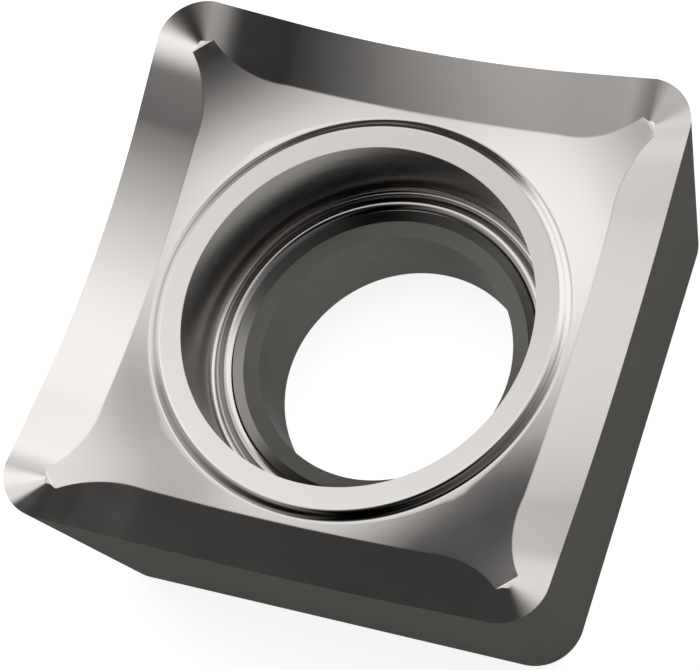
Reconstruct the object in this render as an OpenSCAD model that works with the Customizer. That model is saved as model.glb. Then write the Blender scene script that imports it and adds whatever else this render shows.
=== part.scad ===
// Square positive cutting insert, sintered carbide, one piece.
// It stands on its flat base with the rake face up. The origin is the centre of the base,
// +X and +Y are square to the flanks, and +Z points out of the rake face.
//
// The rake face is the highest of several plain surfaces:
//   a sloping band along each dipped cutting edge,
//   a cone round each corner, which joins two bands,
//   a wide spherical dish in the middle, which the bands cut into a star with four arms,
//   a flat ring round the screw hole.

/* [Outline] */
// Diameter of the circle that touches the four sides, at the height of the corners
inscribed_circle = 12.7; // [12.6:0.01:12.8]
// Height of the corners over the base
thickness = 5.56; // [5.3:0.01:5.8]
// Angle by which each flank leans in towards the base
clearance_angle = 7; // [5:0.5:9]
// Radius of the rounded corners, at the rake face
corner_radius = 1.04; // [0.98:0.01:1.1]

/* [Cutting edges] */
// Angle at which the rake face falls from the edge
rake_angle = 19; // [18:0.25:20]
// How far the middle of an edge lies below the corners
edge_dip = 0.595; // [0.5:0.005:0.605]
// Length of the arc in the middle of an edge, between its two straight ramps
dip_arc_length = 6.6; // [6:0.1:6.8]
// Angle at which each ramp rises to its corner
ramp_angle = 9.6; // [9.4:0.1:10]

/* [Dish] */
// Radius of the spherical dish
dish_radius = 22.9; // [21.5:0.1:26]
// How far each arm of the star reaches past the centre of its corner
arm_reach = 0.056; // [-0.04:0.001:0.06]
// Depth of the dish below the corners, at the end of an arm
arm_end_drop = 0.304; // [0.28:0.001:0.32]
// Radius of the small hollow face that ends an arm
arm_end_radius = 0.47; // [0.46:0.01:0.6]
// Distance from the end of an arm out to the lowest line of its hollow face
arm_end_offset = 0.026; // [0.01:0.002:0.04]

/* [Ring] */
// Outer diameter of the flat on the ring
ring_d = 9.02; // [8.8:0.01:9.3]
// Height of the ring over the dish at the foot of its step
ring_step = 0.139; // [0.08:0.001:0.25]
// Width of the step from the flat down to the dish
ring_step_width = 0.31; // [0.2:0.01:0.4]

/* [Screw hole] */
// Diameter of the through hole
bore_d = 5.9; // [5.4:0.1:6.2]
// Diameter of the recess for the screw head
recess_d = 8.07; // [7.8:0.01:8.3]
// Depth of the recess below the ring, to the trough round its floor
recess_depth = 2.32; // [1.8:0.01:2.6]
// Diameter of the rounded seat, at the crown that carries the screw head
seat_d = 7.44; // [7.3:0.01:7.5]
// Height of the crown of the seat over the trough
seat_height = 0.1; // [0.05:0.01:0.14]
// Width of the rounded seat
seat_width = 0.4; // [0.36:0.01:0.44]
// Radius of the fillet between the wall of the recess and the trough
recess_fillet = 0.1; // [0.05:0.01:0.11]
// Diameter at the foot of the lead-in cone below the seat
lead_in_d = 6.62; // [6.4:0.01:6.8]
// Angle of the lead-in cone to the base
lead_in_angle = 32; // [20:1:45]
// Angle of the shallow cone that opens the bore, to the base
bore_mouth_angle = 11; // [5:1:20]

/* [Hidden] */

carbide_grey = [0.62, 0.61, 0.59];
round_faces = 180; // facets in a full turn of the drawn mesh
small_round_faces = 72; // the same for the small roundings of a turned profile
past = 1; // how far a cutting solid runs past what it cuts

half_side = inscribed_circle / 2;
base_half = half_side - thickness * tan(clearance_angle);
block_top = thickness + past;
block_top_half = half_side + past * tan(clearance_angle);

// The rounding of two neighbouring flanks is a round cylinder along the line where they would meet.
// It is a little larger than the cone of its corner, so that the straight flank ends where the cone starts.
corner_centre = half_side - corner_radius;
corner_lean = atan(sqrt(2) * tan(clearance_angle));
corner_blend = 1.5; // angle at which the rounding crosses a flank
corner_gap = 0.005; // from the end of the straight flank to the start of the cone
flank_rounding = (corner_radius + corner_gap) / (cos(corner_blend) / cos(clearance_angle)
                 - sin(corner_blend) - sin(clearance_angle) * tan(clearance_angle));
corner_axis_depth = flank_rounding * cos(corner_blend) / cos(clearance_angle);
corner_axis_base = sqrt(2) * (base_half - corner_axis_depth);
corner_half_turn = acos(cos(clearance_angle) * cos(corner_lean) / sqrt(2)
                        + sin(clearance_angle) * sin(corner_lean));

// An edge is an arc between two straight ramps, drawn square to the slope of the band.
slope_scale = cos(rake_angle) - tan(clearance_angle) * sin(rake_angle);
band_dip = edge_dip * slope_scale;
ramp_slope = tan(ramp_angle) * slope_scale;
arc_half = dip_arc_length / 2;
arc_rise = band_dip - ramp_slope * (corner_centre - arc_half);
dip_arc_radius = (arc_half * arc_half + arc_rise * arc_rise) / (2 * arc_rise);
arc_overlap = 0.1; // how far the arc's piece runs into each ramp
band_reach = 3.4;
band_depth = thickness / 3;

// The dish and the hollow face meet at the end of each arm.
arm_length = sqrt(2) * corner_centre + arm_reach;
arm_end_height = thickness - arm_end_drop;
dish_centre_height = arm_end_height + sqrt(dish_radius * dish_radius - arm_length * arm_length);
hollow_height = arm_end_height + sqrt(arm_end_radius * arm_end_radius - arm_end_offset * arm_end_offset);
arm_end_cap = 1 / 16; // height at which the hollow face is levelled off, over its radius

// The step of the ring is two equal arcs, first rounded over and then hollow.
step_sink = 0.002; // how far the foot of the step runs into the dish
step_turn = 2 * atan((ring_step + step_sink) / ring_step_width);
step_radius = ring_step_width / (2 * sin(step_turn));
ring_flat = ring_d / 2;
ring_foot = ring_flat + ring_step_width;
dish_at_foot = dish_height(ring_foot);
ring_height = dish_at_foot + ring_step;
step_foot = dish_at_foot - step_sink;

// Heights in the screw hole
bore = bore_d / 2;
recess = recess_d / 2;
trough = ring_height - recess_depth;
seat_radius = (seat_width * seat_width / 4 + seat_height * seat_height) / (2 * seat_height);
seat_inner = (seat_d - seat_width) / 2;
lead_in = lead_in_d / 2;
lead_in_foot = trough - (seat_inner - lead_in) * tan(lead_in_angle);
bore_top = lead_in_foot - (lead_in - bore) * tan(bore_mouth_angle);

// Height of the dish at a distance from the axis
function dish_height(distance) =
    dish_centre_height - sqrt(dish_radius * dish_radius - distance * distance);

// Flank profile, swept through the block along one axis
module flank_prism() {
    length = 2 * (block_top_half + past);
    rotate([90, 0, 0])
        translate([0, 0, -length / 2])
            linear_extrude(height = length)
                polygon([
                    [-base_half, 0],
                    [base_half, 0],
                    [block_top_half, block_top],
                    [-block_top_half, block_top]
                ]);
}

// What the rounding takes off one upright corner, drawn on the diagonal that points to +X
module corner_waste() {
    far = 3 * flank_rounding;
    lift = past / cos(corner_lean);
    translate([corner_axis_base, 0, 0])
        rotate([0, corner_lean, 0])
            translate([0, 0, -lift])
                linear_extrude(height = block_top / cos(corner_lean) + 2 * lift)
                    difference() {
                        polygon([
                            [0, 0],
                            [far * cos(corner_half_turn), far * sin(corner_half_turn)],
                            [2 * far, 0],
                            [far * cos(corner_half_turn), -far * sin(corner_half_turn)]
                        ]);
                        circle(r = flank_rounding, $fn = round_faces);
                    }
}

// The ground outline: four leaning flanks with rounded corners
module outline_block() {
    difference() {
        intersection() {
            flank_prism();
            rotate([0, 0, 90])
                flank_prism();
        }
        for (corner = [0 : 3])
            rotate([0, 0, 45 + 90 * corner])
                corner_waste();
    }
}

// Edge line seen along the slope of its band, as the top of a flat shape. Zero is corner height.
module band_profile() {
    arc_piece_half = arc_half + arc_overlap;
    polygon([
        [-corner_centre, -band_depth],
        [corner_centre, -band_depth],
        [corner_centre, 0],
        [0, -ramp_slope * corner_centre],
        [-corner_centre, 0]
    ]);
    difference() {
        translate([-arc_piece_half, -band_depth])
            square([2 * arc_piece_half, band_depth]);
        translate([0, dip_arc_radius - band_dip])
            circle(r = dip_arc_radius, $fn = 4 * round_faces);
    }
}

// Stock below the sloping band of the side at +Y
module band() {
    translate([0, half_side, thickness])
        rotate([90 + rake_angle, 0, 0])
            translate([0, 0, -past])
                linear_extrude(height = band_reach + past)
                    band_profile();
}

// Stock below the cone that joins two bands, drawn at the corner between +X and +Y
module corner_cone() {
    reach = corner_radius + past;
    translate([corner_centre, corner_centre, thickness])
        rotate_extrude(angle = 90, $fn = round_faces)
            polygon([
                [0, -thickness],
                [reach, -thickness],
                [reach, past * tan(rake_angle)],
                [0, -corner_radius * tan(rake_angle)]
            ]);
}

// What ends one arm of the star: a hollow across the diagonal and all that stands outside it
module arm_end_waste() {
    width = 2 * half_side;
    level = arm_end_cap * arm_end_radius;
    translate([arm_length + arm_end_offset, 0, hollow_height])
        rotate([90, 0, 0])
            translate([0, 0, -width / 2])
                linear_extrude(height = width)
                    union() {
                        circle(r = arm_end_radius, $fn = round_faces);
                        translate([0, level - arm_end_radius])
                            square([half_side, thickness]);
                    }
}

// Stock below the dish, down to a small hollow face at the end of each arm
module star() {
    side = 2 * (half_side + past);
    difference() {
        translate([-side / 2, -side / 2, 0])
            cube([side, side, block_top]);
        translate([0, 0, dish_centre_height])
            sphere(r = dish_radius, $fn = 2 * round_faces);
        for (corner = [0 : 3])
            rotate([0, 0, 45 + 90 * corner])
                arm_end_waste();
    }
}

// Flat ring round the hole and its rounded step
module ring() {
    step_middle = (step_foot + ring_height) / 2;
    rotate_extrude($fn = round_faces)
        union() {
            square([ring_flat, ring_height]);
            square([ring_foot, step_foot]);
            square([ring_flat + ring_step_width / 2, step_middle]);
            intersection() {
                translate([ring_flat, ring_height - step_radius])
                    circle(r = step_radius, $fn = small_round_faces);
                translate([0, step_middle])
                    square([ring_foot, ring_step]);
            }
            difference() {
                square([ring_foot, step_middle]);
                translate([ring_foot, step_foot + step_radius])
                    circle(r = step_radius, $fn = small_round_faces);
            }
        }
}

// Through hole, lead-in, rounded seat and recess for the screw head
module screw_hole() {
    top = thickness + past;
    translate([0, 0, -past])
        cylinder(d = bore_d, h = top + past, $fn = round_faces);
    rotate_extrude($fn = round_faces)
        difference() {
            polygon([
                [0, bore_top],
                [bore, bore_top],
                [lead_in, lead_in_foot],
                [seat_inner, trough],
                [recess, trough],
                [recess, top],
                [0, top]
            ]);
            translate([seat_d / 2, trough + seat_height - seat_radius])
                circle(r = seat_radius, $fn = small_round_faces);
            difference() {
                translate([recess - recess_fillet, trough])
                    square(recess_fillet);
                translate([recess - recess_fillet, trough + recess_fillet])
                    circle(r = recess_fillet, $fn = small_round_faces);
            }
        }
}

// The whole insert
module insert() {
    color(carbide_grey)
        difference() {
            intersection() {
                outline_block();
                union() {
                    star();
                    ring();
                    for (side = [0 : 3])
                        rotate([0, 0, 90 * side]) {
                            band();
                            corner_cone();
                        }
                }
            }
            screw_hole();
        }
}

insert();
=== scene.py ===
"""A square cutting insert of sintered carbide, dressed for a studio photograph.

The insert is one piece. Its surface is built here a second time from the same sizes as the solid,
with mesh lines that run along the real creases, so that the polished faces mirror the studio cleanly.
"""

import logging
import math
from dataclasses import dataclass, field
from enum import Enum

import bmesh
import bpy
from mathutils import Matrix, Vector


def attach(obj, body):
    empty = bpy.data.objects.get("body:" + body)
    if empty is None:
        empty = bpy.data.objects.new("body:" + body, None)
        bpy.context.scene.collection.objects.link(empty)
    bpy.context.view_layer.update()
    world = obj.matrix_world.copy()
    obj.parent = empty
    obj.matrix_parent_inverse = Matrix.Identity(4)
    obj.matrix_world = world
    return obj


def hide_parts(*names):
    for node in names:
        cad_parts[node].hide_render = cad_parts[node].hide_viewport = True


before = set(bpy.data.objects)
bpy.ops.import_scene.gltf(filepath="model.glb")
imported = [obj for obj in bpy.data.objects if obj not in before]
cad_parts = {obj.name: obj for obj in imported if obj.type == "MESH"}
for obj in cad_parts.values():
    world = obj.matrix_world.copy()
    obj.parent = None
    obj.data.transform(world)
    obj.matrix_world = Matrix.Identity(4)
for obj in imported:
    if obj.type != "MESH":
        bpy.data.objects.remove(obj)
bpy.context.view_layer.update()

LOG = logging.getLogger("insert")
MM = 0.001

Point = tuple[float, float, float]
Flat = tuple[float, float]


class Zone(Enum):
    """Finish of a strip of the skin: its painted shade and its coarseness, each as a share of one. The
    painted shade is a darker base colour for the dark surroundings mirrored by the flanks and for the
    shade inside the hole; the coarseness is the real roughness of a ground face.
    """

    # The first number of each zone is painted shade: it is high for the recess wall, lead-in, mouth, bore
    # and flanks.
    POLISHED = (0.0, 0.0)
    RECESS_WALL = (0.72, 0.17)
    SEAT = (0.1, 0.0)
    LEAD_IN = (0.78, 0.3)
    MOUTH = (0.97, 0.3)
    BORE = (0.96, 0.6)
    GROUND_AND_SHADE = (1.0, 1.0)

    @property
    def painted_shade(self) -> float:
        """Share of the dark colour, which is painted shade and painted dark reflection."""
        return self.value[0]

    @property
    def coarseness(self) -> float:
        """Share of the ground roughness."""
        return self.value[1]


@dataclass(frozen=True)
class Row:
    """One point of a mesh line, with the finish and painted shade of the strip that ends at it."""

    place: Point
    crease: bool
    zone: Zone
    on_band: bool = False


@dataclass(frozen=True)
class Column:
    """Where a mesh line starts on the cutting edge, and which way it runs inwards, in plan."""

    edge: Flat
    inwards: Flat
    at_arm_end: bool


def blend_range(start: float, end: float, steps: int) -> list[float]:
    """Even fractions between two values.

    Args:
        start: First value.
        end: Last value.
        steps: Number of intervals.

    Returns:
        steps + 1 values, both ends included.
    """
    return [start + (end - start) * i / steps for i in range(steps + 1)]


@dataclass(frozen=True)
class RakeFace:
    """Heights of the rake face, in millimetres over the base.

    The face is the highest of a sloping band along each edge, a cone round each corner,
    a spherical dish and a flat ring.
    """

    half_side: float = 6.35
    thickness: float = 5.56
    clearance: float = math.radians(7)
    corner_radius: float = 1.04
    corner_blend: float = math.radians(1.5)
    corner_gap: float = 0.005
    rake: float = math.radians(19)
    edge_dip: float = 0.595
    arc_half: float = 3.3
    ramp_angle: float = math.radians(9.6)
    dish_radius: float = 22.9
    arm_length: float = 7.566
    arm_end_drop: float = 0.304
    arm_end_radius: float = 0.47
    arm_end_offset: float = 0.026
    arm_end_cap: float = 1 / 16
    ring_flat: float = 4.51
    ring_step: float = 0.139
    ring_step_width: float = 0.31
    step_sink: float = 0.002
    rim_rounds: int = 20

    @property
    def corner_centre(self) -> float:
        """Distance of a corner's centre from the two planes through the axis."""
        return self.half_side - self.corner_radius

    @property
    def flank_rounding(self) -> float:
        """Radius of the cylinder that rounds two neighbouring flanks."""
        clearance = self.clearance
        share = math.cos(self.corner_blend) / math.cos(clearance) - math.sin(self.corner_blend)
        share -= math.sin(clearance) * math.tan(clearance)
        return (self.corner_radius + self.corner_gap) / share

    @property
    def slope_scale(self) -> float:
        """What a height on an edge measures when it is seen along the slope of the band."""
        return math.cos(self.rake) - math.tan(self.clearance) * math.sin(self.rake)

    @property
    def band_dip(self) -> float:
        """Depth of the edge's dip, seen along the slope of the band."""
        return self.edge_dip * self.slope_scale

    @property
    def ramp_slope(self) -> float:
        """Slope of an edge's ramp, seen along the slope of the band."""
        return math.tan(self.ramp_angle) * self.slope_scale

    @property
    def dip_arc_radius(self) -> float:
        """Radius of the arc in the middle of an edge."""
        rise = self.band_dip - self.ramp_slope * (self.corner_centre - self.arc_half)
        return (self.arc_half**2 + rise**2) / (2 * rise)

    @property
    def arm_end_height(self) -> float:
        """Height of the dish where an arm of the star ends."""
        return self.thickness - self.arm_end_drop

    @property
    def dish_centre(self) -> float:
        """Height of the centre of the dish's sphere."""
        return self.arm_end_height + math.sqrt(self.dish_radius**2 - self.arm_length**2)

    @property
    def ring_foot(self) -> float:
        """Radius at which the ring's step reaches the dish."""
        return self.ring_flat + self.ring_step_width

    @property
    def ring_height(self) -> float:
        """Height of the flat on the ring."""
        return self.dish(self.ring_foot) + self.ring_step

    def profile(self, along: float) -> float:
        """Height of the edge line over its corners, seen along the slope of the band.

        Args:
            along: Distance from the middle of the edge.

        Returns:
            A height of zero or less.
        """
        along = abs(along)
        if along < self.arc_half:
            radius = self.dip_arc_radius
            return radius - self.band_dip - math.sqrt(radius**2 - along**2)
        return -self.ramp_slope * (self.corner_centre - along)

    def edge_point(self, along: float) -> Flat:
        """Where the band of one side meets its flank.

        Args:
            along: Distance from the middle of the edge.

        Returns:
            Distance from the axis, and height.
        """
        height = self.thickness + self.profile(along) / self.slope_scale
        return self.half_side - (self.thickness - height) * math.tan(self.clearance), height

    def band(self, along: float, out: float) -> float:
        """Height of the sloping band of one side.

        Args:
            along: Distance from the middle of the side.
            out: Distance from the axis, square to the side.

        Returns:
            The band's height there.
        """
        rise = self.profile(along)
        inwards = (self.half_side - rise * math.sin(self.rake) - out) / math.cos(self.rake)
        return self.thickness + rise * math.cos(self.rake) - inwards * math.sin(self.rake)

    def cone(self, x: float, y: float) -> float:
        """Height of the cone round the corner in the first quarter.

        Args:
            x: Distance from the axis along +X.
            y: Distance from the axis along +Y.

        Returns:
            The cone's height there.
        """
        reach = math.hypot(x - self.corner_centre, y - self.corner_centre)
        return self.thickness - (self.corner_radius - reach) * math.tan(self.rake)

    def dish(self, distance: float) -> float:
        """Height of the dish.

        Args:
            distance: Distance from the axis.

        Returns:
            The dish's height there.
        """
        return self.dish_centre - math.sqrt(self.dish_radius**2 - distance**2)

    def arm_end(self, diagonal: float) -> float:
        """Height of the hollow face that ends an arm of the star.

        Args:
            diagonal: Distance from the axis along the diagonal.

        Returns:
            The face's height there. It is level past the deepest part of the hollow.
        """
        radius, offset = self.arm_end_radius, self.arm_end_offset
        centre = self.arm_end_height + math.sqrt(radius**2 - offset**2)
        across = diagonal - self.arm_length - offset
        level = centre - radius * (1 - self.arm_end_cap)
        if across <= -radius:
            return self.thickness
        if across >= radius:
            return level
        hollow = centre - math.sqrt(radius**2 - across**2)
        return min(hollow, level) if across > 0 else hollow

    def step(self, steps: int) -> list[Flat]:
        """Points of the ring's rounded step, from the dish up to the flat.

        Args:
            steps: Number of intervals.

        Returns:
            Pairs of distance from the axis and height.
        """
        turn = 2 * math.atan((self.ring_step + self.step_sink) / self.ring_step_width)
        radius = self.ring_step_width / (2 * math.sin(turn))
        foot = self.dish(self.ring_foot) - self.step_sink
        points: list[Flat] = []
        for distance in blend_range(self.ring_foot, self.ring_flat, steps)[1:]:
            if distance > (self.ring_foot + self.ring_flat) / 2:
                height = foot + radius - math.sqrt(radius**2 - (self.ring_foot - distance) ** 2)
                points.append((distance, max(height, self.dish(distance))))
            else:
                drop = math.sqrt(radius**2 - (distance - self.ring_flat) ** 2)
                points.append((distance, self.ring_height - radius + drop))
        return points

    def corner_reach(self, start: float, direction: Flat, height: float) -> float:
        """Distance from a place on the diagonal out to the rounding of the flanks.

        Args:
            start: Both coordinates of the place, in plan.
            direction: Unit vector outwards, in plan.
            height: Height over the base.

        Returns:
            The distance along the direction.
        """
        lean = math.atan(math.sqrt(2) * math.tan(self.clearance))
        depth = self.flank_rounding * math.cos(self.corner_blend) / math.cos(self.clearance)
        axis = self.half_side - depth - (self.thickness - height) * math.tan(self.clearance)
        short = self.flank_rounding
        long = short / math.cos(lean)
        along = (direction[0] + direction[1]) / math.sqrt(2)
        across = (direction[1] - direction[0]) / math.sqrt(2)
        offset = math.sqrt(2) * (start - axis)
        a = (along / long) ** 2 + (across / short) ** 2
        b = offset * along / long**2
        c = (offset / long) ** 2 - 1
        return (math.sqrt(b * b - a * c) - b) / a

    def corner_rim(self, direction: Flat) -> Flat:
        """Where the cone of a corner meets the rounding of the flanks.

        Args:
            direction: Unit vector outwards from the corner's centre, in plan.

        Returns:
            Distance from the corner's centre, and height.
        """
        height = self.thickness
        reach = self.corner_radius
        for _ in range(self.rim_rounds):
            reach = self.corner_reach(self.corner_centre, direction, height)
            height = self.thickness - (self.corner_radius - reach) * math.tan(self.rake)
        return reach, height

    def star(self, x: float, y: float) -> float:
        """Height of the dish with the hollow faces that end its arms.

        Args:
            x: Distance from the axis along +X.
            y: Distance from the axis along +Y.

        Returns:
            The height there, without the bands and the corner cones.
        """
        return min(self.dish(math.hypot(x, y)), self.arm_end((abs(x) + abs(y)) / math.sqrt(2)))


@dataclass(frozen=True)
class ScrewHole:
    """Profile of the screw hole, in millimetres."""

    bore: float = 2.95
    recess: float = 4.035
    recess_depth: float = 2.32
    seat_crown: float = 3.72
    seat_height: float = 0.1
    seat_width: float = 0.4
    fillet: float = 0.1
    lead_in: float = 3.31
    lead_in_angle: float = math.radians(32)
    mouth_angle: float = math.radians(11)
    arc_steps: int = 14
    wall_shares: tuple[float, ...] = (0.02, 0.35, 0.7, 0.98)
    bore_shares: tuple[float, ...] = (0.97, 0.5, 0.03)

    def profile(self, ring_height: float) -> list[tuple[Flat, bool, Zone]]:
        """Points from the top of the recess down to the foot of the bore.

        Args:
            ring_height: Height of the ring round the hole.

        Returns:
            Distance from the axis and height of each point, whether there is a crease there, and the
            finish and painted shade of the strip that ends there.
        """
        trough = ring_height - self.recess_depth
        points: list[tuple[Flat, bool, Zone]] = [((self.recess, ring_height), True, Zone.POLISHED)]
        for share in self.wall_shares:
            height = ring_height - share * (self.recess_depth - self.fillet)
            points.append(((self.recess, height), False, Zone.RECESS_WALL))
        for turn in blend_range(0.0, math.pi / 2, self.arc_steps // 2):
            distance = self.recess - self.fillet + self.fillet * math.cos(turn)
            height = trough + self.fillet - self.fillet * math.sin(turn)
            points.append(((distance, height), False, Zone.SEAT))
        radius = (self.seat_width**2 / 4 + self.seat_height**2) / (2 * self.seat_height)
        half_turn = math.asin(self.seat_width / 2 / radius)
        for i, turn in enumerate(blend_range(half_turn, -half_turn, self.arc_steps)):
            distance = self.seat_crown + radius * math.sin(turn)
            height = trough + self.seat_height - radius * (1 - math.cos(turn))
            points.append(((distance, height), i in (0, self.arc_steps), Zone.SEAT))
        seat_inner = self.seat_crown - self.seat_width / 2
        cone_foot = trough - (seat_inner - self.lead_in) * math.tan(self.lead_in_angle)
        points.append(((self.lead_in, cone_foot), True, Zone.LEAD_IN))
        bore_top = cone_foot - (self.lead_in - self.bore) * math.tan(self.mouth_angle)
        points.append(((self.bore, bore_top), True, Zone.MOUTH))
        for share in self.bore_shares:
            points.append(((self.bore, bore_top * share), False, Zone.BORE))
        return points


@dataclass(frozen=True)
class CarbideFinish:
    """Procedural look of the carbide: polished rake face and hole, ground flanks, and painted shade: a
    dark base colour on the flanks and on the walls and bore of the hole stands in for the dark
    surroundings that these faces mirror.
    """

    polished: Point = (0.735, 0.70, 0.675)
    # Painted shade: this dark base colour stands in for the dark surroundings that the flanks and the
    # hole's walls mirror.
    ground_and_shade: Point = (0.098, 0.095, 0.087)
    polished_roughness: float = 0.09
    ground_roughness: float = 0.62
    # Painted shade: the lower edge tint darkens the grazing reflection on the same faces.
    ground_and_shade_edge_tint: float = 0.4
    grain_scale: float = 1400.0
    grain_stretch: float = 5.0
    grain_detail: float = 3.0
    grain_range: Flat = (0.3, 0.7)
    grain_contrast: float = 0.07
    roughness_variation: float = 0.05

    def build(self) -> bpy.types.Material:
        """Makes the material.

        Returns:
            One material for the whole insert, which reads the zone kept on each face.
        """
        material = bpy.data.materials.new("carbide")
        material.use_nodes = True
        tree = material.node_tree
        tree.nodes.clear()
        out = tree.nodes.new("ShaderNodeOutputMaterial")
        shader = tree.nodes.new("ShaderNodeBsdfPrincipled")
        shader.inputs["Metallic"].default_value = 1.0
        tree.links.new(shader.outputs["BSDF"], out.inputs["Surface"])

        # Painted shade: the share kept on each face mixes in the dark colour and lowers the edge tint.
        dark = tree.nodes.new("ShaderNodeAttribute")
        dark.attribute_name = "painted_shade"
        coarse = tree.nodes.new("ShaderNodeAttribute")
        coarse.attribute_name = "coarseness"
        colour = tree.nodes.new("ShaderNodeMix")
        colour.data_type = "RGBA"
        colour.inputs["A"].default_value = (*self.polished, 1.0)
        colour.inputs["B"].default_value = (*self.ground_and_shade, 1.0)
        tree.links.new(dark.outputs["Fac"], colour.inputs["Factor"])
        tint = tree.nodes.new("ShaderNodeMix")
        tint.data_type = "RGBA"
        tint.inputs["A"].default_value = (1.0, 1.0, 1.0, 1.0)
        tint.inputs["B"].default_value = (self.ground_and_shade_edge_tint,) * 3 + (1.0,)
        tree.links.new(dark.outputs["Fac"], tint.inputs["Factor"])
        tree.links.new(tint.outputs["Result"], shader.inputs["Specular Tint"])

        place = tree.nodes.new("ShaderNodeTexCoord")
        along = tree.nodes.new("ShaderNodeMapping")
        along.inputs["Scale"].default_value = (1.0, 1.0, self.grain_stretch)
        tree.links.new(place.outputs["Object"], along.inputs["Vector"])
        grain = tree.nodes.new("ShaderNodeTexNoise")
        grain.inputs["Scale"].default_value = self.grain_scale
        grain.inputs["Detail"].default_value = self.grain_detail
        tree.links.new(along.outputs["Vector"], grain.inputs["Vector"])
        tone = tree.nodes.new("ShaderNodeMapRange")
        tone.inputs["From Min"].default_value = self.grain_range[0]
        tone.inputs["From Max"].default_value = self.grain_range[1]
        tone.inputs["To Min"].default_value = 1.0 - self.grain_contrast
        tone.inputs["To Max"].default_value = 1.0 + self.grain_contrast
        tree.links.new(grain.outputs["Fac"], tone.inputs["Value"])
        marked = tree.nodes.new("ShaderNodeMix")
        marked.data_type = "RGBA"
        marked.blend_type = "MULTIPLY"
        tree.links.new(dark.outputs["Fac"], marked.inputs["Factor"])
        tree.links.new(colour.outputs["Result"], marked.inputs["A"])
        tree.links.new(tone.outputs["Result"], marked.inputs["B"])
        tree.links.new(marked.outputs["Result"], shader.inputs["Base Color"])
        rough = tree.nodes.new("ShaderNodeMix")
        rough.data_type = "FLOAT"
        rough.inputs["A"].default_value = self.polished_roughness
        rough.inputs["B"].default_value = self.ground_roughness
        tree.links.new(coarse.outputs["Fac"], rough.inputs["Factor"])
        vary = tree.nodes.new("ShaderNodeMath")
        vary.operation = "MULTIPLY_ADD"
        vary.inputs[1].default_value = self.roughness_variation
        tree.links.new(grain.outputs["Fac"], vary.inputs[0])
        tree.links.new(rough.outputs["Result"], vary.inputs[2])
        tree.links.new(vary.outputs["Value"], shader.inputs["Roughness"])
        return material


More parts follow.
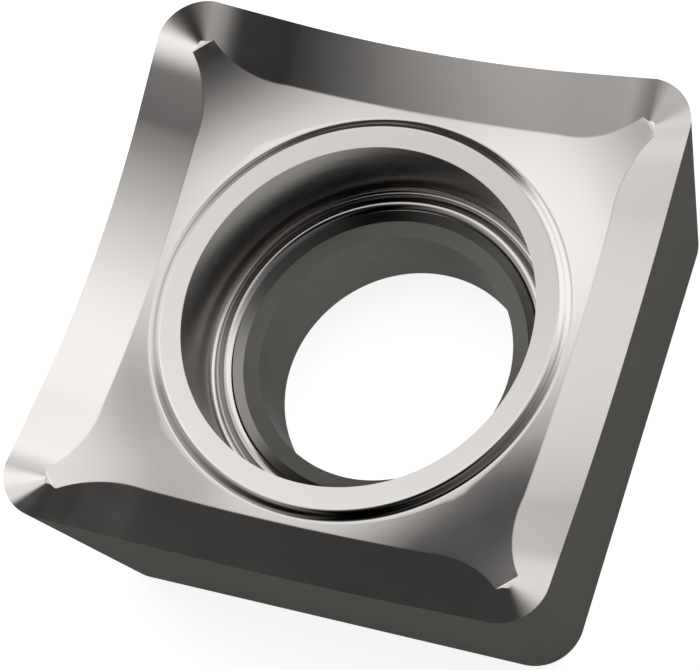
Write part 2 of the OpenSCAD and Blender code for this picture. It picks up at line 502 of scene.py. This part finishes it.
@dataclass
class InsertBody:
    """The insert's whole skin, built as one quarter round a corner and repeated four times."""

    rake_face: RakeFace = field(default_factory=RakeFace)
    hole: ScrewHole = field(default_factory=ScrewHole)
    edge_steps: int = 56
    corner_steps: int = 40
    band_steps: int = 8
    arm_end_steps: int = 8
    dish_steps: int = 14
    step_steps: int = 12
    crease_search: int = 60
    valley_fillet: float = 0.03
    arm_side_steps: int = 6
    corner_ease: float = 0.85
    valley_step: float = 0.02
    valley_limit: float = 2.5
    flank_shares: Flat = (0.02, 0.98)
    flat_margin: float = 0.02
    corners: int = 4
    weld_distance: float = 2e-7

    def build(self, finish: bpy.types.Material) -> bpy.types.Object:
        """Builds the skin as a plain mesh object.

        Args:
            finish: Material for every face.

        Returns:
            The finished object, at the origin.
        """
        sector = self._sector()
        piece = self._repeat(sector, finish)
        self._ease_corners(piece.data)
        LOG.info("insert skin: %d faces", len(piece.data.polygons))
        return piece

    def _ease_corners(self, mesh: bpy.types.Mesh) -> None:
        """Turns the shading of each band smoothly into the cone of its corner.

        The real face has no crease there. The solid and this mesh have a shallow one.

        Args:
            mesh: Skin of the whole insert, with its band faces marked.
        """
        face = self.rake_face
        start = face.corner_centre - self.corner_ease
        down, up = -math.sin(face.rake), math.cos(face.rake)
        on_band = mesh.attributes["on_band"].data
        normals = [corner.vector.copy() for corner in mesh.corner_normals]
        for polygon in mesh.polygons:
            if on_band[polygon.index].value < 0.5:
                continue
            centre = polygon.center / MM
            is_cone = min(abs(centre.x), abs(centre.y)) > face.corner_centre
            side = Vector((0.0, math.copysign(1.0, centre.y), 0.0))
            if abs(centre.x) > abs(centre.y):
                side = Vector((math.copysign(1.0, centre.x), 0.0, 0.0))
            for loop in polygon.loop_indices:
                place = mesh.vertices[mesh.loops[loop].vertex_index].co / MM
                if is_cone:
                    x = place.x - math.copysign(face.corner_centre, place.x)
                    y = place.y - math.copysign(face.corner_centre, place.y)
                    outwards = Vector((x, y, 0.0)).normalized()
                    normals[loop] = outwards * down + Vector((0.0, 0.0, up))
                    continue
                along = abs(place.x) if side.x == 0 else abs(place.y)
                share = min(max((along - start) / self.corner_ease, 0.0), 1.0)
                share = share * share * (3 - 2 * share)
                plain = side * down + Vector((0.0, 0.0, up))
                normals[loop] = (normals[loop] * (1 - share) + plain * share).normalized()
        mesh.normals_split_custom_set(normals)
        mesh.attributes.remove(mesh.attributes["on_band"])

    def _arm_end_along(self) -> float:
        """Distance along an edge at which the line inwards meets the crease at an arm's end."""
        face = self.rake_face
        low, high = face.arc_half, face.corner_centre
        for _ in range(self.crease_search):
            middle = (low + high) / 2
            out = math.sqrt(2) * face.arm_length - middle
            if face.band(middle, out) > face.dish(math.hypot(middle, out)):
                low = middle
            else:
                high = middle
        return (low + high) / 2

    def _columns(self) -> list[Column]:
        """Mesh lines from the middle of one side round the corner to the middle of the next."""
        face = self.rake_face
        centre = face.corner_centre
        stop = self._arm_end_along()
        stations = [stop * math.sin(turn) for turn in blend_range(0.0, math.pi / 2, self.edge_steps)]
        stations += blend_range(stop, centre, self.arm_side_steps)[1:]
        side = [Column((a, face.edge_point(a)[0]), (0.0, -1.0), a >= stop) for a in stations]
        next_side: list[Column] = []
        for column in reversed(side):
            x, y = column.edge
            next_side.append(Column((y, x), (-1.0, 0.0), column.at_arm_end))
        corner: list[Column] = []
        for turn in blend_range(math.pi / 2, 0.0, self.corner_steps)[1:-1]:
            cosine, sine = math.cos(turn), math.sin(turn)
            reach, _ = face.corner_rim((cosine, sine))
            corner.append(Column((centre + reach * cosine, centre + reach * sine), (-cosine, -sine), True))
        return side + corner + next_side

    def _rim_height(self, x: float, y: float) -> float:
        """Height of the band or cone in the first quarter.

        Args:
            x: Distance from the axis along +X.
            y: Distance from the axis along +Y.

        Returns:
            The height of whichever of the two is there.
        """
        face = self.rake_face
        centre = face.corner_centre
        if x >= centre and y >= centre:
            return face.cone(x, y)
        return face.band(x, y) if y > x else face.band(y, x)

    def _valley(self, column: Column) -> Flat:
        """First place on a mesh line at which the star stands as high as the band.

        Args:
            column: Where the line starts and which way it runs.

        Returns:
            The place, in plan.
        """
        face = self.rake_face
        start, direction = column.edge, column.inwards

        def over(reach: float) -> float:
            """How far the band stands over the star, at a distance along the line."""
            x, y = start[0] + direction[0] * reach, start[1] + direction[1] * reach
            return self._rim_height(x, y) - face.star(x, y)

        reach = self.valley_step
        while over(reach) > 0 and reach < self.valley_limit:
            reach += self.valley_step
        low, high = reach - self.valley_step, reach
        for _ in range(self.crease_search):
            middle = (low + high) / 2
            if over(middle) > 0:
                low = middle
            else:
                high = middle
        return start[0] + direction[0] * low, start[1] + direction[1] * low

    def _flank_point(self, column: Column, height: float) -> Point:
        """Place of a mesh line on the flank.

        Args:
            column: Where the line starts and which way it runs.
            height: Height over the base.

        Returns:
            The place on the flat flank, or on the rounding between two flanks.
        """
        face = self.rake_face
        (x, y), inwards = column.edge, column.inwards
        shrink = (face.thickness - height) * math.tan(face.clearance)
        share = 1 - shrink / face.corner_centre
        if inwards == (0.0, -1.0):
            return x * share, face.half_side - shrink, height
        if inwards == (-1.0, 0.0):
            return face.half_side - shrink, y * share, height
        outwards = (-inwards[0], -inwards[1])
        _, rim = face.corner_rim(outwards)
        start = face.corner_centre - (rim - height) * math.tan(face.clearance)
        reach = face.corner_reach(start, outwards, height)
        return start + reach * outwards[0], start + reach * outwards[1], height

    def _line(self, column: Column) -> list[Row]:
        """Points of one mesh line: base, flank, band, arm end, dish, ring and hole.

        Args:
            column: Where the line starts and which way it runs.

        Returns:
            The same number of rows for every line, so that neighbours join up.
        """
        face, hole, fillet = self.rake_face, self.hole, self.valley_fillet
        x0, y0 = column.edge
        top = self._rim_height(x0, y0)
        valley = self._valley(column)
        at_arm_end = column.at_arm_end
        crease = valley
        if valley[0] + valley[1] > math.sqrt(2) * face.arm_length:
            along, across = face.arm_length, (valley[1] - valley[0]) / math.sqrt(2)
            crease = ((along - across) / math.sqrt(2), (along + across) / math.sqrt(2))
        turn = math.atan2(crease[1], crease[0])
        cosine, sine = math.cos(turn), math.sin(turn)

        bore_foot = (hole.bore * cosine, hole.bore * sine, 0.0)
        rows: list[Row] = [Row(bore_foot, True, Zone.GROUND_AND_SHADE)]
        # The flank strips get the full painted shade of the ground zone, with the ground roughness.
        rows.append(Row(self._flank_point(column, 0.0), True, Zone.GROUND_AND_SHADE))
        for share in self.flank_shares:
            rows.append(Row(self._flank_point(column, top * share), False, Zone.GROUND_AND_SHADE))
        rows.append(Row((x0, y0, top), True, Zone.GROUND_AND_SHADE))

        low = self._rim_height(*valley)
        length = math.hypot(valley[0] - x0, valley[1] - y0)
        shares = blend_range(0, 1, self.band_steps)[1:]
        shares[-2] = max(1 - fillet / length, shares[-3])
        for share in shares:
            x, y = x0 + (valley[0] - x0) * share, y0 + (valley[1] - y0) * share
            place = (x, y, top + (low - top) * share)
            rows.append(Row(place, at_arm_end and share == 1, Zone.POLISHED, on_band=True))

        reach = math.hypot(*crease)
        for share in blend_range(0, 1, self.arm_end_steps)[1:]:
            x = valley[0] + (crease[0] - valley[0]) * share
            y = valley[1] + (crease[1] - valley[1]) * share
            height = face.star(x, y)
            if not at_arm_end:
                x, y = (reach - fillet) * cosine, (reach - fillet) * sine
                height = face.dish(reach - fillet)
            rows.append(Row((x, y, height), at_arm_end and share == 1, Zone.POLISHED))

        def turned(distance: float, height: float, crease_here: bool, zone: Zone) -> None:
            """Adds a point of the round part, at this line's turn about the axis.

            Args:
                distance: Distance from the axis.
                height: Height over the base.
                crease_here: Whether there is a crease at the point.
                zone: Finish and painted shade of the strip that ends there.
            """
            rows.append(Row((distance * cosine, distance * sine, height), crease_here, zone))

        if not at_arm_end:
            reach -= fillet
        turned(reach - fillet, face.dish(reach - fillet), False, Zone.POLISHED)
        for distance in blend_range(reach - fillet, face.ring_foot, self.dish_steps)[1:]:
            turned(distance, face.dish(distance), False, Zone.POLISHED)
        for distance, height in face.step(self.step_steps):
            turned(distance, height, False, Zone.POLISHED)
        for distance in (face.ring_flat - self.flat_margin, hole.recess + self.flat_margin):
            turned(distance, face.ring_height, False, Zone.POLISHED)
        for (distance, height), crease_here, zone in hole.profile(face.ring_height):
            turned(distance, height, crease_here, zone)
        rows.append(Row(bore_foot, True, Zone.BORE))
        return rows

    def _sector(self) -> bpy.types.Mesh:
        """Mesh of the quarter of the skin round one corner.

        Returns:
            A mesh with creases marked and the finish of each face kept as two attributes, its painted
            shade and its coarseness.
        """
        mesh = bpy.data.meshes.new("insert_quarter")
        bm = bmesh.new()
        painted_shade = bm.faces.layers.float.new("painted_shade")
        coarseness = bm.faces.layers.float.new("coarseness")
        on_band = bm.faces.layers.float.new("on_band")
        lines = [self._line(column) for column in self._columns()]
        grid = [[bm.verts.new([c * MM for c in row.place]) for row in line] for line in lines]
        for j, (line, next_line) in enumerate(zip(lines, lines[1:])):
            for i, row in enumerate(line[1:]):
                made = bm.faces.new([grid[j][i], grid[j][i + 1], grid[j + 1][i + 1], grid[j + 1][i]])
                made.smooth = True
                # Painted shade: the share of the dark colour that this face gets.
                made[painted_shade] = row.zone.painted_shade
                made[coarseness] = row.zone.coarseness
                made[on_band] = float(row.on_band)
            for i, (row, next_row) in enumerate(zip(line, next_line)):
                if row.crease and next_row.crease:
                    bm.edges.get((grid[j][i], grid[j + 1][i])).smooth = False
        bm.to_mesh(mesh)
        bm.free()
        return mesh

    def _repeat(self, sector: bpy.types.Mesh, finish: bpy.types.Material) -> bpy.types.Object:
        """Repeats the quarter round the axis with Geometry Nodes and welds the copies.

        Args:
            sector: Mesh of one quarter.
            finish: Material for every face.

        Returns:
            A plain mesh object with no modifier.
        """
        tree = bpy.data.node_groups.new("quarter turns", "GeometryNodeTree")
        sockets = tree.interface
        sockets.new_socket("Geometry", in_out="OUTPUT", socket_type="NodeSocketGeometry")
        sockets.new_socket("Quarter", in_out="INPUT", socket_type="NodeSocketGeometry")
        count = sockets.new_socket("Corners", in_out="INPUT", socket_type="NodeSocketInt")
        weld = sockets.new_socket("Weld distance", in_out="INPUT", socket_type="NodeSocketFloat")
        paint = sockets.new_socket("Finish", in_out="INPUT", socket_type="NodeSocketMaterial")
        nodes, links = tree.nodes, tree.links
        given = nodes.new("NodeGroupInput")
        result = nodes.new("NodeGroupOutput")
        line = nodes.new("GeometryNodeMeshLine")
        line.inputs["Offset"].default_value = (0.0, 0.0, 0.0)
        index = nodes.new("GeometryNodeInputIndex")
        turn = nodes.new("ShaderNodeMath")
        turn.operation = "DIVIDE"
        turn.inputs[0].default_value = math.tau
        scaled = nodes.new("ShaderNodeMath")
        scaled.operation = "MULTIPLY"
        spin = nodes.new("ShaderNodeCombineXYZ")
        place = nodes.new("GeometryNodeInstanceOnPoints")
        real = nodes.new("GeometryNodeRealizeInstances")
        join = nodes.new("GeometryNodeMergeByDistance")
        dress = nodes.new("GeometryNodeSetMaterial")
        links.new(given.outputs["Corners"], line.inputs["Count"])
        links.new(given.outputs["Corners"], turn.inputs[1])
        links.new(index.outputs["Index"], scaled.inputs[0])
        links.new(turn.outputs["Value"], scaled.inputs[1])
        links.new(scaled.outputs["Value"], spin.inputs["Z"])
        links.new(line.outputs["Mesh"], place.inputs["Points"])
        links.new(given.outputs["Quarter"], place.inputs["Instance"])
        links.new(spin.outputs["Vector"], place.inputs["Rotation"])
        links.new(place.outputs["Instances"], real.inputs["Geometry"])
        links.new(real.outputs["Geometry"], join.inputs["Geometry"])
        links.new(given.outputs["Weld distance"], join.inputs["Distance"])
        links.new(join.outputs["Geometry"], dress.inputs["Geometry"])
        links.new(given.outputs["Finish"], dress.inputs["Material"])
        links.new(dress.outputs["Geometry"], result.inputs["Geometry"])

        source = bpy.data.objects.new("insert_quarter", sector)
        bpy.context.scene.collection.objects.link(source)
        modifier = source.modifiers.new("quarter turns", "NODES")
        modifier.node_group = tree
        modifier[count.identifier] = self.corners
        modifier[weld.identifier] = self.weld_distance
        modifier[paint.identifier] = finish
        bpy.context.view_layer.update()
        evaluated = source.evaluated_get(bpy.context.evaluated_depsgraph_get())
        mesh = bpy.data.meshes.new_from_object(evaluated)
        source.modifiers.remove(modifier)
        bpy.data.objects.remove(source)
        mesh.name = "insert_skin"
        piece = bpy.data.objects.new("insert_skin", mesh)
        bpy.context.scene.collection.objects.link(piece)
        return piece


@dataclass(frozen=True)
class Card:
    """One round soft card of the light tent, pale or dark.

    Angles are in degrees. Azimuth runs from +X towards +Y, and elevation starts at the floor. The card
    has its full level out to the inner angle from its middle, and fades to nothing at the outer one.
    """

    azimuth: float
    elevation: float
    inner: float
    outer: float
    level: float

    @property
    def direction(self) -> Vector:
        """Unit vector from the insert to the middle of the card."""
        turn, lift = math.radians(self.azimuth), math.radians(self.elevation)
        return Vector((math.cos(lift) * math.cos(turn), math.cos(lift) * math.sin(turn), math.sin(lift)))


@dataclass
class Studio:
    """Pale floor, a light tent with pale and dark cards, and the camera.

    A later card covers the ones before it. The camera's place is in metres.
    """

    tent_radius: float = 0.4
    tent_segments: int = 64
    tent_rings: int = 32
    rim_tolerance: float = 1e-4
    floor_segments: int = 96
    floor_gap: float = 0.00002
    floor_albedo: float = 0.8
    floor_glow: float = 0.85
    tent_level: float = 0.52
    cards: tuple[Card, ...] = (
        Card(177.0, 57.0, 9.0, 26.0, 1.20),
        Card(164.0, 77.0, 9.0, 16.0, 1.06),
        Card(111.0, 31.0, 17.0, 30.0, 0.045),
        Card(263.0, 12.0, 47.0, 82.0, 0.00),
        Card(210.0, 2.0, 49.0, 61.0, 0.42),
        Card(124.0, 52.0, 0.0, 15.0, 0.94),
        Card(37.0, 37.0, 35.0, 44.0, 1.26),
        Card(121.0, 75.0, 1.0, 15.0, 1.06),
        Card(165.0, 26.0, 6.0, 20.0, 0.98),
        Card(105.0, 53.0, 0.0, 7.0, 0.60),
        Card(342.0, 59.0, 3.0, 38.0, 0.16),
        Card(294.0, 75.0, 0.0, 23.0, 0.00),
        Card(141.0, 37.0, 0.0, 7.0, 0.08),
        Card(86.0, 49.0, 5.0, 13.0, 1.03),
        Card(252.0, 9.0, 5.0, 55.0, 0.00),
        Card(342.0, 0.0, 14.0, 64.0, 0.08),
    )
    lens: float = 195.63
    sensor_width: float = 36.0
    clip_start: float = 0.001
    camera_place: Point = (0.02908211, -0.0253073, 0.07853714)
    camera_right: Point = (0.917666, 0.300475, -0.260009)
    camera_up: Point = (-0.189395, 0.905995, 0.378554)
    camera_back: Point = (0.349313, -0.298141, 0.888309)

    def build(self) -> None:
        """Builds the world, the floor, the tent and the camera."""
        self._world()
        self._floor()
        self._tent()
        self._camera()

    def _world(self) -> None:
        """A plain white world, which only the camera sees past the tent."""
        world = bpy.data.worlds.new("white")
        world.use_nodes = True
        world.node_tree.nodes["Background"].inputs["Color"].default_value = (1.0, 1.0, 1.0, 1.0)
        world.node_tree.nodes["Background"].inputs["Strength"].default_value = 1.0
        bpy.context.scene.world = world

    def _floor(self) -> bpy.types.Object:
        """A pale round floor that shows as white and keeps a soft shadow.

        Returns:
            The floor, just below the base.
        """
        mesh = bpy.data.meshes.new("floor")
        bm = bmesh.new()
        segments = self.floor_segments
        bmesh.ops.create_circle(bm, cap_ends=True, segments=segments, radius=self.tent_radius)
        bm.to_mesh(mesh)
        bm.free()
        floor = bpy.data.objects.new("floor", mesh)
        floor.location = (0.0, 0.0, -self.floor_gap)
        bpy.context.scene.collection.objects.link(floor)
        material = bpy.data.materials.new("pale floor")
        material.use_nodes = True
        tree = material.node_tree
        tree.nodes.clear()
        out = tree.nodes.new("ShaderNodeOutputMaterial")
        both = tree.nodes.new("ShaderNodeAddShader")
        pale = tree.nodes.new("ShaderNodeBsdfDiffuse")
        pale.inputs["Color"].default_value = (self.floor_albedo,) * 3 + (1.0,)
        glow = tree.nodes.new("ShaderNodeEmission")
        rays = tree.nodes.new("ShaderNodeLightPath")
        seen = tree.nodes.new("ShaderNodeMath")
        seen.operation = "ADD"
        level = tree.nodes.new("ShaderNodeMath")
        level.operation = "MULTIPLY"
        level.inputs[1].default_value = self.floor_glow
        through = tree.nodes.new("ShaderNodeMath")
        through.operation = "ADD"
        tree.links.new(rays.outputs["Is Camera Ray"], seen.inputs[0])
        tree.links.new(rays.outputs["Is Glossy Ray"], seen.inputs[1])
        tree.links.new(seen.outputs["Value"], through.inputs[0])
        tree.links.new(rays.outputs["Is Transmission Ray"], through.inputs[1])
        tree.links.new(through.outputs["Value"], level.inputs[0])
        tree.links.new(level.outputs["Value"], glow.inputs["Strength"])
        tree.links.new(pale.outputs["BSDF"], both.inputs[0])
        tree.links.new(glow.outputs["Emission"], both.inputs[1])
        tree.links.new(both.outputs["Shader"], out.inputs["Surface"])
        mesh.materials.append(material)
        return floor

    def _tent(self) -> bpy.types.Object:
        """A half sphere of soft light with pale and dark cards, which the camera doesn't see.

        Returns:
            The tent.
        """
        mesh = bpy.data.meshes.new("light tent")
        bm = bmesh.new()
        segments, rings = self.tent_segments, self.tent_rings
        bmesh.ops.create_uvsphere(bm, u_segments=segments, v_segments=rings, radius=self.tent_radius)
        low = [v for v in bm.verts if v.co.z < -self.rim_tolerance]
        bmesh.ops.delete(bm, geom=low, context="VERTS")
        bmesh.ops.reverse_faces(bm, faces=bm.faces[:])
        bm.to_mesh(mesh)
        bm.free()
        tent = bpy.data.objects.new("light tent", mesh)
        bpy.context.scene.collection.objects.link(tent)
        tent.visible_camera = False
        material = bpy.data.materials.new("light tent")
        material.use_nodes = True
        tree = material.node_tree
        tree.nodes.clear()
        out = tree.nodes.new("ShaderNodeOutputMaterial")
        glow = tree.nodes.new("ShaderNodeEmission")
        place = tree.nodes.new("ShaderNodeTexCoord")
        unit = tree.nodes.new("ShaderNodeVectorMath")
        unit.operation = "NORMALIZE"
        tree.links.new(place.outputs["Object"], unit.inputs[0])
        last: bpy.types.Node | None = None
        for card in self.cards:
            dot = tree.nodes.new("ShaderNodeVectorMath")
            dot.operation = "DOT_PRODUCT"
            dot.inputs[1].default_value = card.direction
            tree.links.new(unit.outputs["Vector"], dot.inputs[0])
            mask = tree.nodes.new("ShaderNodeMapRange")
            mask.interpolation_type = "SMOOTHSTEP"
            mask.inputs["From Min"].default_value = math.cos(math.radians(card.outer))
            mask.inputs["From Max"].default_value = math.cos(math.radians(card.inner))
            tree.links.new(dot.outputs["Value"], mask.inputs["Value"])
            layer = tree.nodes.new("ShaderNodeMix")
            layer.data_type = "FLOAT"
            layer.inputs["A"].default_value = self.tent_level
            layer.inputs["B"].default_value = card.level
            tree.links.new(mask.outputs["Result"], layer.inputs["Factor"])
            if last is not None:
                tree.links.new(last.outputs["Result"], layer.inputs["A"])
            last = layer
        tree.links.new(last.outputs["Result"], glow.inputs["Strength"])
        tree.links.new(glow.outputs["Emission"], out.inputs["Surface"])
        mesh.materials.append(material)
        return tent

    def _camera(self) -> None:
        """A long lens over one corner, at the photograph's angle."""
        data = bpy.data.cameras.new("camera")
        data.lens = self.lens
        data.sensor_width = self.sensor_width
        data.sensor_fit = "HORIZONTAL"
        data.clip_start = self.clip_start
        camera = bpy.data.objects.new("camera", data)
        turn = Matrix((self.camera_right, self.camera_up, self.camera_back)).transposed()
        camera.matrix_world = Matrix.Translation(self.camera_place) @ turn.to_4x4()
        bpy.context.scene.collection.objects.link(camera)
        bpy.context.scene.camera = camera


def main() -> None:
    """Builds the insert's skin and sets the studio."""
    logging.basicConfig(level=logging.INFO, format="%(message)s")
    bpy.context.scene.view_settings.view_transform = "Standard"
    finish = CarbideFinish().build()
    LOG.info("finish: carbide")
    piece = InsertBody().build(finish)
    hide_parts("insert")
    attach(piece, "root")
    Studio().build()
    LOG.info("studio: floor, tent and camera")


if __name__ == "__main__":
    main()
